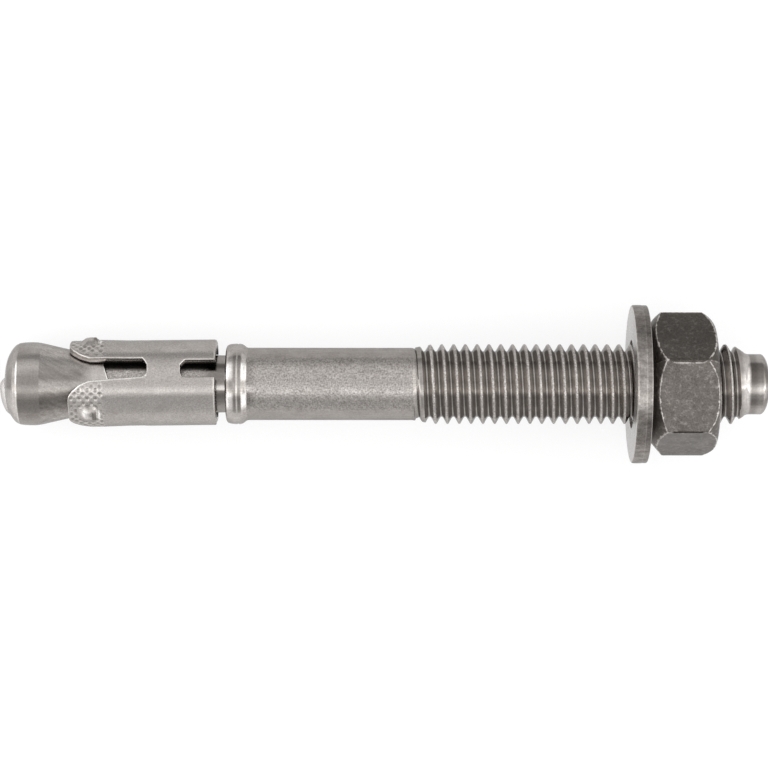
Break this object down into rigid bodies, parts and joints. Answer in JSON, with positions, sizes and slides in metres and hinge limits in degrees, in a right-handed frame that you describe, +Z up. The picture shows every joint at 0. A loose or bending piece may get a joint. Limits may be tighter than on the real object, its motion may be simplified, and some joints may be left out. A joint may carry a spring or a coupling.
{
  "type": "anchor bolt",
  "caption": "Wedge anchor for concrete: a threaded stud with a cone and a slotted expansion sleeve at its tip, and a washer and hex nut at its other end.",
  "frame": {"origin": "on the stud's axis, in the plane of the washer's face that bears on the fixture", "axes": "+X along the stud's axis from the cone tip towards the nut, +Z up as it lies, +Y square to both"},
  "size_m": [0.1139, 0.0234, 0.0234],
  "materials": {
    "stud_steel": "cold-formed and rolled stainless steel, satin, with brighter crests",
    "sleeve_steel": "stamped stainless sheet, matte, fine grain",
    "washer_steel": "blanked stainless sheet, tumbled, soft edges",
    "nut_steel": "hot-formed stainless steel, tumbled, darker, with worn bright edges"
  },
  "bodies": {
    "bolt": {"anchor_bolt": "stud_steel"},
    "sleeve": {"expansion_sleeve": "sleeve_steel"},
    "washer": {"washer": "washer_steel"},
    "nut": {"hex_nut": "nut_steel"}
  },
  "joints": [
    {"name": "sleeve_slide", "type": "slide", "parent": "bolt", "child": "sleeve", "axis": [1, 0, 0], "range_m": [0, 0.00115]},
    {"name": "washer_slide", "type": "slide", "parent": "bolt", "child": "washer", "axis": [1, 0, 0], "range_m": [-0.0325, 0.0136]},
    {"name": "nut_turn", "type": "hinge", "parent": "washer", "child": "nut", "pos_m": [0, 0, 0], "axis": [1, 0, 0], "range_deg": [-6685, 2797]}
  ],
  "couplings": [
    {"joint": "washer_slide", "follows": "nut_turn", "m_per_rad": 0.00027852}
  ]
}
